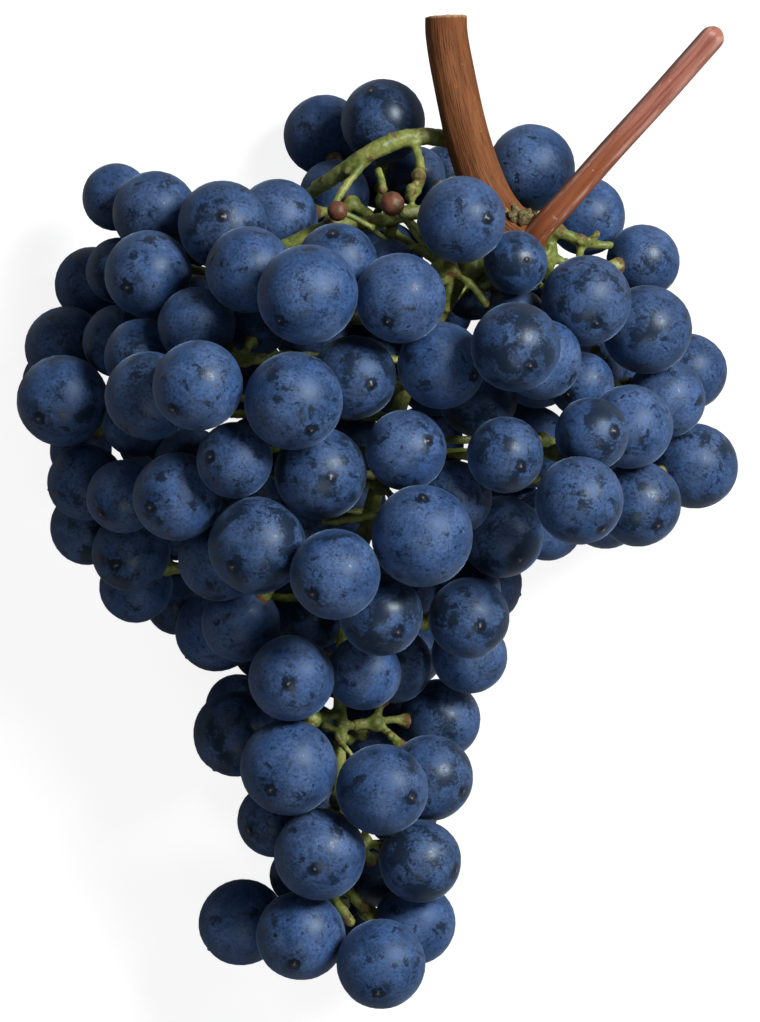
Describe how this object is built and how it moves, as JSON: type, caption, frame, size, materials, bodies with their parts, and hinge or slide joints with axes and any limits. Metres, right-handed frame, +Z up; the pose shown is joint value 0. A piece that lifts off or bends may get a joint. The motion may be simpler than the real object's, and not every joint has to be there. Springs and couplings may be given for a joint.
{
  "type": "bunch of grapes",
  "caption": "Broad-shouldered bunch of blue grapes with a narrow tail, lying on its back, with a cut piece of cane and one leaf stalk.",
  "frame": {"origin": "on the surface under the middle of the bunch's box", "axes": "+Z up from the surface, +Y towards the cut cane, -Y towards the tail, X across the shoulders"},
  "size_m": [0.138, 0.189, 0.0818],
  "materials": {
    "berry_skin": "blue-black skin under a pale, rubbed wax bloom, satin",
    "green_stem": "yellow-green living stem with brown warts",
    "cane_bark": "orange-brown fibrous bark, matte",
    "leaf_stalk_skin": "reddish brown grooved stalk, satin",
    "bud_scale": "green-brown papery scales, matte",
    "shot_berry_skin": "reddish brown, matte"
  },
  "bodies": {
    "root": {"buds": "bud_scale", "cane": "cane_bark", "leaf_stalk": "leaf_stalk_skin", "rachis": "green_stem", "shot_berry_left": "shot_berry_skin", "shot_berry_right": "shot_berry_skin", "sprig_below_node": "berry_skin", "sprig_core_left": "berry_skin", "sprig_core_lower": "berry_skin", "sprig_core_middle": "berry_skin", "sprig_core_right": "berry_skin", "sprig_heart_lower": "berry_skin", "sprig_heart_lower_right": "berry_skin", "sprig_heart_right": "berry_skin", "sprig_heart_upper": "berry_skin", "sprig_left_front": "berry_skin", "sprig_left_middle": "berry_skin", "sprig_left_shoulder_outer": "berry_skin", "sprig_left_shoulder_top": "berry_skin", "sprig_left_side": "berry_skin", "sprig_left_side_lower": "berry_skin", "sprig_left_side_upper": "berry_skin", "sprig_left_waist_front": "berry_skin", "sprig_left_waist_low": "berry_skin", "sprig_left_waist_outer": "berry_skin", "sprig_right_front": "berry_skin", "sprig_right_of_cane": "berry_skin", "sprig_right_shoulder": "berry_skin", "sprig_right_tip_lower": "berry_skin", "sprig_right_tip_upper": "berry_skin", "sprig_right_waist": "berry_skin", "sprig_tail_left": "berry_skin", "sprig_tail_left_upper": "berry_skin", "sprig_tail_middle": "berry_skin", "sprig_tail_right": "berry_skin", "sprig_tail_right_upper": "berry_skin", "sprig_tail_tip_left": "berry_skin", "sprig_tail_tip_right": "berry_skin", "sprig_top_front": "berry_skin", "sprig_top_left": "berry_skin", "sprig_top_middle": "berry_skin", "sprig_top_right": "berry_skin", "sprig_under_cane": "berry_skin", "sprig_underside_10_left": "berry_skin", "sprig_underside_1_left": "berry_skin", "sprig_underside_2_left": "berry_skin", "sprig_underside_2_right": "berry_skin", "sprig_underside_3_left": "berry_skin", "sprig_underside_3_right": "berry_skin", "sprig_underside_4_left": "berry_skin", "sprig_underside_4_right": "berry_skin", "sprig_underside_5_left": "berry_skin", "sprig_underside_5_right": "berry_skin", "sprig_underside_6_left": "berry_skin", "sprig_underside_7_left": "berry_skin", "sprig_underside_8_left": "berry_skin", "sprig_underside_9_left": "berry_skin", "sprig_waist_middle": "berry_skin", "sprig_waist_right": "berry_skin"}
  },
  "joints": []
}
